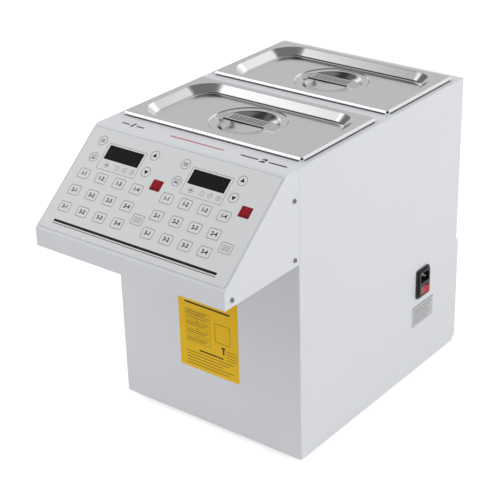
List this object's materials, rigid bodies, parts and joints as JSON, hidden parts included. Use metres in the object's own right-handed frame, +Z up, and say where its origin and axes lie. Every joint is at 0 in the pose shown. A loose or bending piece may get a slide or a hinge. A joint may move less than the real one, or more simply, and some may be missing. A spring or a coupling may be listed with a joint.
{
  "type": "twin syrup dispenser",
  "caption": "Counter-top cabinet with lidded steel pans in its deck and a slanted keypad hood that pumps measured syrup portions from nozzles above the cup space.",
  "frame": {"origin": "centre of the outer box, on the surface that the feet stand on", "axes": "+Z up, +Y to the back, +X to the right as seen from the keypads"},
  "size_m": [0.353, 0.6066, 0.481],
  "materials": {
    "cabinet_shell": "white powder coat, satin",
    "top_deck": "white powder coat, satin",
    "base_tray": "galvanised sheet",
    "back_panel": "white powder coat, satin",
    "service_cover": "white powder coat, satin",
    "hood_shell": "white powder coat, satin",
    "hood_floor": "white powder coat, satin",
    "control_overlay": "printed light grey film",
    "display_windows": "smoked, clear face",
    "control_boards": "green circuit board",
    "front_pan": "satin stainless",
    "rear_pan": "satin stainless",
    "front_lid": "satin stainless",
    "rear_lid": "satin stainless",
    "front_lid_handle": "satin stainless",
    "rear_lid_handle": "satin stainless",
    "pump_units": "satin",
    "syrup_hoses": "milky silicone",
    "nozzles": "black, satin",
    "power_inlet": "black, satin",
    "inlet_rocker": "clear red",
    "power_supply": "sheet",
    "rubber_feet": "black rubber",
    "screws": "stainless",
    "left_key_11": "printed film cap",
    "left_key_12": "printed film cap",
    "left_key_13": "printed film cap",
    "left_key_14": "printed film cap",
    "left_key_21": "printed film cap",
    "left_key_22": "printed film cap",
    "left_key_23": "printed film cap",
    "left_key_24": "printed film cap",
    "left_key_31": "printed film cap",
    "left_key_32": "printed film cap",
    "left_key_33": "printed film cap",
    "left_key_34": "printed film cap",
    "left_key_set": "printed film cap",
    "left_key_save": "printed film cap",
    "left_key_up": "printed film cap",
    "left_key_down": "printed film cap",
    "left_key_power": "printed film cap",
    "left_key_auto": "printed film cap",
    "right_key_11": "printed film cap",
    "right_key_12": "printed film cap",
    "right_key_13": "printed film cap",
    "right_key_14": "printed film cap",
    "right_key_21": "printed film cap",
    "right_key_22": "printed film cap",
    "right_key_23": "printed film cap",
    "right_key_24": "printed film cap",
    "right_key_31": "printed film cap",
    "right_key_32": "printed film cap",
    "right_key_33": "printed film cap",
    "right_key_34": "printed film cap",
    "right_key_set": "printed film cap",
    "right_key_save": "printed film cap",
    "right_key_up": "printed film cap",
    "right_key_down": "printed film cap",
    "right_key_power": "printed film cap",
    "right_key_auto": "printed film cap"
  },
  "bodies": {
    "cabinet": {"cabinet_shell": "cabinet_shell", "top_deck": "top_deck", "base_tray": "base_tray", "back_panel": "back_panel", "service_cover": "service_cover", "hood_shell": "hood_shell", "hood_floor": "hood_floor", "control_overlay": "control_overlay", "display_windows": "display_windows", "control_boards": "control_boards", "front_pan": "front_pan", "rear_pan": "rear_pan", "pump_units": "pump_units", "syrup_hoses": "syrup_hoses", "nozzles": "nozzles", "power_inlet": "power_inlet", "power_supply": "power_supply", "rubber_feet": "rubber_feet", "screws": "screws"},
    "front_lid": {"front_lid": "front_lid", "front_lid_handle": "front_lid_handle"},
    "rear_lid": {"rear_lid": "rear_lid", "rear_lid_handle": "rear_lid_handle"},
    "inlet_rocker": {"inlet_rocker": "inlet_rocker"},
    "left_key_11": {"left_key_11": "left_key_11"},
    "left_key_12": {"left_key_12": "left_key_12"},
    "left_key_13": {"left_key_13": "left_key_13"},
    "left_key_14": {"left_key_14": "left_key_14"},
    "left_key_21": {"left_key_21": "left_key_21"},
    "left_key_22": {"left_key_22": "left_key_22"},
    "left_key_23": {"left_key_23": "left_key_23"},
    "left_key_24": {"left_key_24": "left_key_24"},
    "left_key_31": {"left_key_31": "left_key_31"},
    "left_key_32": {"left_key_32": "left_key_32"},
    "left_key_33": {"left_key_33": "left_key_33"},
    "left_key_34": {"left_key_34": "left_key_34"},
    "left_key_set": {"left_key_set": "left_key_set"},
    "left_key_save": {"left_key_save": "left_key_save"},
    "left_key_up": {"left_key_up": "left_key_up"},
    "left_key_down": {"left_key_down": "left_key_down"},
    "left_key_power": {"left_key_power": "left_key_power"},
    "left_key_auto": {"left_key_auto": "left_key_auto"},
    "right_key_11": {"right_key_11": "right_key_11"},
    "right_key_12": {"right_key_12": "right_key_12"},
    "right_key_13": {"right_key_13": "right_key_13"},
    "right_key_14": {"right_key_14": "right_key_14"},
    "right_key_21": {"right_key_21": "right_key_21"},
    "right_key_22": {"right_key_22": "right_key_22"},
    "right_key_23": {"right_key_23": "right_key_23"},
    "right_key_24": {"right_key_24": "right_key_24"},
    "right_key_31": {"right_key_31": "right_key_31"},
    "right_key_32": {"right_key_32": "right_key_32"},
    "right_key_33": {"right_key_33": "right_key_33"},
    "right_key_34": {"right_key_34": "right_key_34"},
    "right_key_set": {"right_key_set": "right_key_set"},
    "right_key_save": {"right_key_save": "right_key_save"},
    "right_key_up": {"right_key_up": "right_key_up"},
    "right_key_down": {"right_key_down": "right_key_down"},
    "right_key_power": {"right_key_power": "right_key_power"},
    "right_key_auto": {"right_key_auto": "right_key_auto"}
  },
  "joints": [
    {"name": "front_lid_lift", "type": "slide", "parent": "cabinet", "child": "front_lid", "axis": [0, 0, 1], "range_m": [0, 0.12]},
    {"name": "rear_lid_lift", "type": "slide", "parent": "cabinet", "child": "rear_lid", "axis": [0, 0, 1], "range_m": [0, 0.12]},
    {"name": "inlet_rocker_tilt", "type": "hinge", "parent": "cabinet", "child": "inlet_rocker", "pos_m": [0.17268, 0.18925, 0.154], "axis": [0, 0, 1], "range_deg": [0, 16]},
    {"name": "left_key_11_press", "type": "slide", "parent": "cabinet", "child": "left_key_11", "axis": [0, 0.6372, -0.7707], "range_m": [0, 0.00035], "stiffness_N_per_m": 3000},
    {"name": "left_key_12_press", "type": "slide", "parent": "cabinet", "child": "left_key_12", "axis": [0, 0.6372, -0.7707], "range_m": [0, 0.00035], "stiffness_N_per_m": 3000},
    {"name": "left_key_13_press", "type": "slide", "parent": "cabinet", "child": "left_key_13", "axis": [0, 0.6372, -0.7707], "range_m": [0, 0.00035], "stiffness_N_per_m": 3000},
    {"name": "left_key_14_press", "type": "slide", "parent": "cabinet", "child": "left_key_14", "axis": [0, 0.6372, -0.7707], "range_m": [0, 0.00035], "stiffness_N_per_m": 3000},
    {"name": "left_key_21_press", "type": "slide", "parent": "cabinet", "child": "left_key_21", "axis": [0, 0.6372, -0.7707], "range_m": [0, 0.00035], "stiffness_N_per_m": 3000},
    {"name": "left_key_22_press", "type": "slide", "parent": "cabinet", "child": "left_key_22", "axis": [0, 0.6372, -0.7707], "range_m": [0, 0.00035], "stiffness_N_per_m": 3000},
    {"name": "left_key_23_press", "type": "slide", "parent": "cabinet", "child": "left_key_23", "axis": [0, 0.6372, -0.7707], "range_m": [0, 0.00035], "stiffness_N_per_m": 3000},
    {"name": "left_key_24_press", "type": "slide", "parent": "cabinet", "child": "left_key_24", "axis": [0, 0.6372, -0.7707], "range_m": [0, 0.00035], "stiffness_N_per_m": 3000},
    {"name": "left_key_31_press", "type": "slide", "parent": "cabinet", "child": "left_key_31", "axis": [0, 0.6372, -0.7707], "range_m": [0, 0.00035], "stiffness_N_per_m": 3000},
    {"name": "left_key_32_press", "type": "slide", "parent": "cabinet", "child": "left_key_32", "axis": [0, 0.6372, -0.7707], "range_m": [0, 0.00035], "stiffness_N_per_m": 3000},
    {"name": "left_key_33_press", "type": "slide", "parent": "cabinet", "child": "left_key_33", "axis": [0, 0.6372, -0.7707], "range_m": [0, 0.00035], "stiffness_N_per_m": 3000},
    {"name": "left_key_34_press", "type": "slide", "parent": "cabinet", "child": "left_key_34", "axis": [0, 0.6372, -0.7707], "range_m": [0, 0.00035], "stiffness_N_per_m": 3000},
    {"name": "left_key_set_press", "type": "slide", "parent": "cabinet", "child": "left_key_set", "axis": [0, 0.6372, -0.7707], "range_m": [0, 0.00035], "stiffness_N_per_m": 3000},
    {"name": "left_key_save_press", "type": "slide", "parent": "cabinet", "child": "left_key_save", "axis": [0, 0.6372, -0.7707], "range_m": [0, 0.00035], "stiffness_N_per_m": 3000},
    {"name": "left_key_up_press", "type": "slide", "parent": "cabinet", "child": "left_key_up", "axis": [0, 0.6372, -0.7707], "range_m": [0, 0.00035], "stiffness_N_per_m": 3000},
    {"name": "left_key_down_press", "type": "slide", "parent": "cabinet", "child": "left_key_down", "axis": [0, 0.6372, -0.7707], "range_m": [0, 0.00035], "stiffness_N_per_m": 3000},
    {"name": "left_key_power_press", "type": "slide", "parent": "cabinet", "child": "left_key_power", "axis": [0, 0.6372, -0.7707], "range_m": [0, 0.00035], "stiffness_N_per_m": 3000},
    {"name": "left_key_auto_press", "type": "slide", "parent": "cabinet", "child": "left_key_auto", "axis": [0, 0.6372, -0.7707], "range_m": [0, 0.00035], "stiffness_N_per_m": 3000},
    {"name": "right_key_11_press", "type": "slide", "parent": "cabinet", "child": "right_key_11", "axis": [0, 0.6372, -0.7707], "range_m": [0, 0.00035], "stiffness_N_per_m": 3000},
    {"name": "right_key_12_press", "type": "slide", "parent": "cabinet", "child": "right_key_12", "axis": [0, 0.6372, -0.7707], "range_m": [0, 0.00035], "stiffness_N_per_m": 3000},
    {"name": "right_key_13_press", "type": "slide", "parent": "cabinet", "child": "right_key_13", "axis": [0, 0.6372, -0.7707], "range_m": [0, 0.00035], "stiffness_N_per_m": 3000},
    {"name": "right_key_14_press", "type": "slide", "parent": "cabinet", "child": "right_key_14", "axis": [0, 0.6372, -0.7707], "range_m": [0, 0.00035], "stiffness_N_per_m": 3000},
    {"name": "right_key_21_press", "type": "slide", "parent": "cabinet", "child": "right_key_21", "axis": [0, 0.6372, -0.7707], "range_m": [0, 0.00035], "stiffness_N_per_m": 3000},
    {"name": "right_key_22_press", "type": "slide", "parent": "cabinet", "child": "right_key_22", "axis": [0, 0.6372, -0.7707], "range_m": [0, 0.00035], "stiffness_N_per_m": 3000},
    {"name": "right_key_23_press", "type": "slide", "parent": "cabinet", "child": "right_key_23", "axis": [0, 0.6372, -0.7707], "range_m": [0, 0.00035], "stiffness_N_per_m": 3000},
    {"name": "right_key_24_press", "type": "slide", "parent": "cabinet", "child": "right_key_24", "axis": [0, 0.6372, -0.7707], "range_m": [0, 0.00035], "stiffness_N_per_m": 3000},
    {"name": "right_key_31_press", "type": "slide", "parent": "cabinet", "child": "right_key_31", "axis": [0, 0.6372, -0.7707], "range_m": [0, 0.00035], "stiffness_N_per_m": 3000},
    {"name": "right_key_32_press", "type": "slide", "parent": "cabinet", "child": "right_key_32", "axis": [0, 0.6372, -0.7707], "range_m": [0, 0.00035], "stiffness_N_per_m": 3000},
    {"name": "right_key_33_press", "type": "slide", "parent": "cabinet", "child": "right_key_33", "axis": [0, 0.6372, -0.7707], "range_m": [0, 0.00035], "stiffness_N_per_m": 3000},
    {"name": "right_key_34_press", "type": "slide", "parent": "cabinet", "child": "right_key_34", "axis": [0, 0.6372, -0.7707], "range_m": [0, 0.00035], "stiffness_N_per_m": 3000},
    {"name": "right_key_set_press", "type": "slide", "parent": "cabinet", "child": "right_key_set", "axis": [0, 0.6372, -0.7707], "range_m": [0, 0.00035], "stiffness_N_per_m": 3000},
    {"name": "right_key_save_press", "type": "slide", "parent": "cabinet", "child": "right_key_save", "axis": [0, 0.6372, -0.7707], "range_m": [0, 0.00035], "stiffness_N_per_m": 3000},
    {"name": "right_key_up_press", "type": "slide", "parent": "cabinet", "child": "right_key_up", "axis": [0, 0.6372, -0.7707], "range_m": [0, 0.00035], "stiffness_N_per_m": 3000},
    {"name": "right_key_down_press", "type": "slide", "parent": "cabinet", "child": "right_key_down", "axis": [0, 0.6372, -0.7707], "range_m": [0, 0.00035], "stiffness_N_per_m": 3000},
    {"name": "right_key_power_press", "type": "slide", "parent": "cabinet", "child": "right_key_power", "axis": [0, 0.6372, -0.7707], "range_m": [0, 0.00035], "stiffness_N_per_m": 3000},
    {"name": "right_key_auto_press", "type": "slide", "parent": "cabinet", "child": "right_key_auto", "axis": [0, 0.6372, -0.7707], "range_m": [0, 0.00035], "stiffness_N_per_m": 3000}
  ]
}
